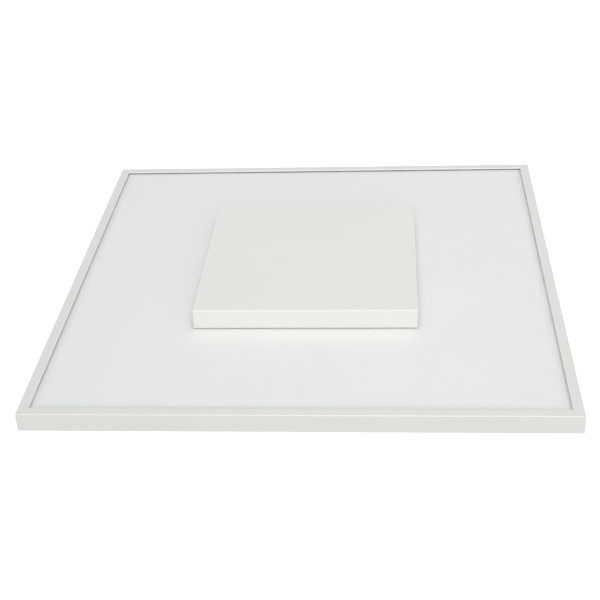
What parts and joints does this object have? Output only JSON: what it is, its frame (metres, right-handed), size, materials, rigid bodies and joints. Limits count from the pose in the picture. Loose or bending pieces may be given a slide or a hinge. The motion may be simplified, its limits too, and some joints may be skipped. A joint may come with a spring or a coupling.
{
  "type": "surface-mounted led panel light",
  "caption": "Square flat LED panel light: mitred white frame, opal diffuser and a raised square driver cover in the middle that lifts off for wiring.",
  "frame": {"origin": "centre of the flat back face that goes against the ceiling or wall", "axes": "+Z is the way the light shines, out of the panel; -Y is the front rail in the stored view; +X is to its right"},
  "size_m": [0.595, 0.595, 0.0445],
  "materials": {
    "frame_paint": "satin white powder coat",
    "cover_paint": "satin white powder coat",
    "tray_paint": "matte white powder coat",
    "zinc_steel": "zinc-plated",
    "screw_steel": "zinc-plated",
    "spring_steel": "polished",
    "driver_case_steel": "galvanised, satin",
    "strip_board": "satin white solder mask",
    "thermal_tape": "matte",
    "lens_plastic": "clear moulded",
    "led_phosphor": "satin",
    "white_nylon": "satin",
    "reflector_film": "matte",
    "opal_diffuser": "satin opal",
    "grey_rubber": "matte",
    "circuit_board": "satin",
    "ferrite": "matte",
    "capacitor_sleeve": "gloss",
    "terminal_plastic": "satin",
    "button_plastic": "satin",
    "contact_brass": "satin",
    "wire_brown": "satin",
    "wire_blue": "satin",
    "wire_green": "satin",
    "wire_red": "satin",
    "wire_black": "satin",
    "wire_white": "satin"
  },
  "bodies": {
    "panel": {"frame_rail_front": "frame_paint", "frame_rail_right": "frame_paint", "frame_rail_back": "frame_paint", "frame_rail_left": "frame_paint", "corner_key_front_left": "zinc_steel", "corner_key_front_right": "zinc_steel", "corner_key_back_right": "zinc_steel", "corner_key_back_left": "zinc_steel", "frame_screws": "screw_steel", "driver_case_screws": "screw_steel", "clamp_screws": "screw_steel", "weld_studs": "screw_steel", "stud_nuts": "screw_steel", "back_tray": "tray_paint", "bay_wall": "tray_paint", "led_strip_left_outer": "strip_board", "led_strip_left_inner": "strip_board", "led_strip_right_inner": "strip_board", "led_strip_right_outer": "strip_board", "led_strip_front_left": "strip_board", "led_strip_front_middle": "strip_board", "led_strip_front_right": "strip_board", "led_strip_back_left": "strip_board", "led_strip_back_middle": "strip_board", "led_strip_back_right": "strip_board", "strip_tapes": "thermal_tape", "led_lenses": "lens_plastic", "led_chips": "led_phosphor", "strip_connectors": "white_nylon", "support_posts": "white_nylon", "driver_input_terminal": "white_nylon", "driver_output_terminal": "white_nylon", "reflector": "reflector_film", "diffuser": "opal_diffuser", "cable_grommet": "grey_rubber", "wire_bush": "grey_rubber", "cover_clips": "spring_steel", "driver_case_base": "driver_case_steel", "driver_case_lid": "driver_case_steel", "driver_board": "circuit_board", "driver_transformer": "ferrite", "driver_choke": "ferrite", "driver_bulk_capacitor": "capacitor_sleeve", "driver_output_capacitors": "capacitor_sleeve", "mains_terminal": "terminal_plastic", "cord_clamp": "terminal_plastic", "terminal_contacts": "contact_brass", "earth_tag": "contact_brass", "wire_live": "wire_brown", "wire_neutral": "wire_blue", "wire_earth": "wire_green", "wire_dc_positive": "wire_red", "wire_dc_negative": "wire_black", "strip_link_wires": "wire_white"},
    "cover": {"driver_cover": "cover_paint", "cover_tabs": "zinc_steel"},
    "button_live": {"release_button_live": "button_plastic"},
    "button_neutral": {"release_button_neutral": "button_plastic"},
    "button_earth": {"release_button_earth": "button_plastic"}
  },
  "joints": [
    {"name": "cover_lift", "type": "slide", "parent": "panel", "child": "cover", "axis": [0, 0, 1], "range_m": [0, 0.06]},
    {"name": "press_live", "type": "slide", "parent": "panel", "child": "button_live", "axis": [0, 0, -1], "range_m": [0, 0.0015], "stiffness_N_per_m": 400, "springref_m": -0.001},
    {"name": "press_neutral", "type": "slide", "parent": "panel", "child": "button_neutral", "axis": [0, 0, -1], "range_m": [0, 0.0015], "stiffness_N_per_m": 400, "springref_m": -0.001},
    {"name": "press_earth", "type": "slide", "parent": "panel", "child": "button_earth", "axis": [0, 0, -1], "range_m": [0, 0.0015], "stiffness_N_per_m": 400, "springref_m": -0.001}
  ]
}
